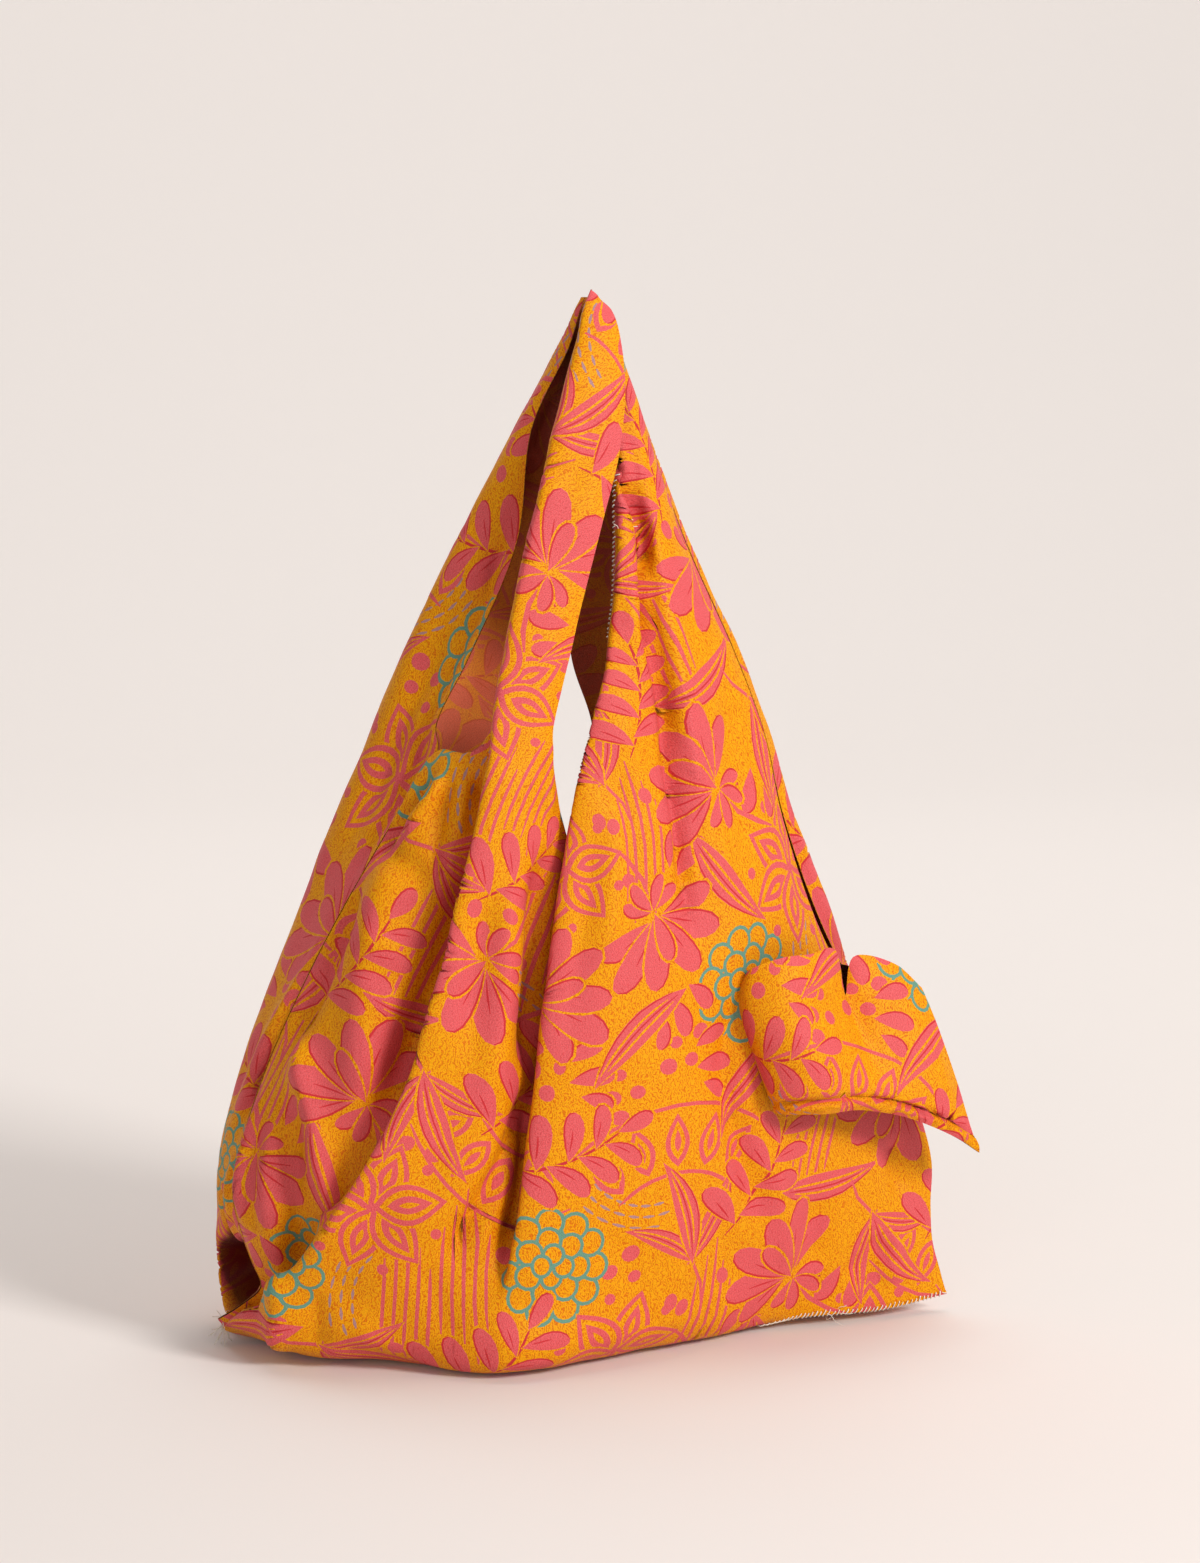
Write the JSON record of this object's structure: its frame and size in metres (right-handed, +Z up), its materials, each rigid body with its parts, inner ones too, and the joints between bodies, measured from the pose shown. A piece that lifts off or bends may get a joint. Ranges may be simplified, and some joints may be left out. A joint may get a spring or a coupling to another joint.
{
  "type": "foldable shopping bag",
  "caption": "Vest-shaped foldable shopping bag of thin printed cloth, standing open with its handles drawn up to one point and a small fold-away pouch at its side seam.",
  "frame": {"origin": "on the floor, under the middle of the bag's outer box", "axes": "+Z up, front panel towards -Y, the pouch's side seam towards +X"},
  "size_m": [0.4888, 0.2282, 0.6655],
  "materials": {
    "printed_cloth": "light plain-weave cloth, matt, printed with pink motifs on a mustard ground"
  },
  "bodies": {
    "root": {"front_panel": "printed_cloth", "back_panel": "printed_cloth", "pouch_front": "printed_cloth", "pouch_back": "printed_cloth"}
  },
  "joints": []
}
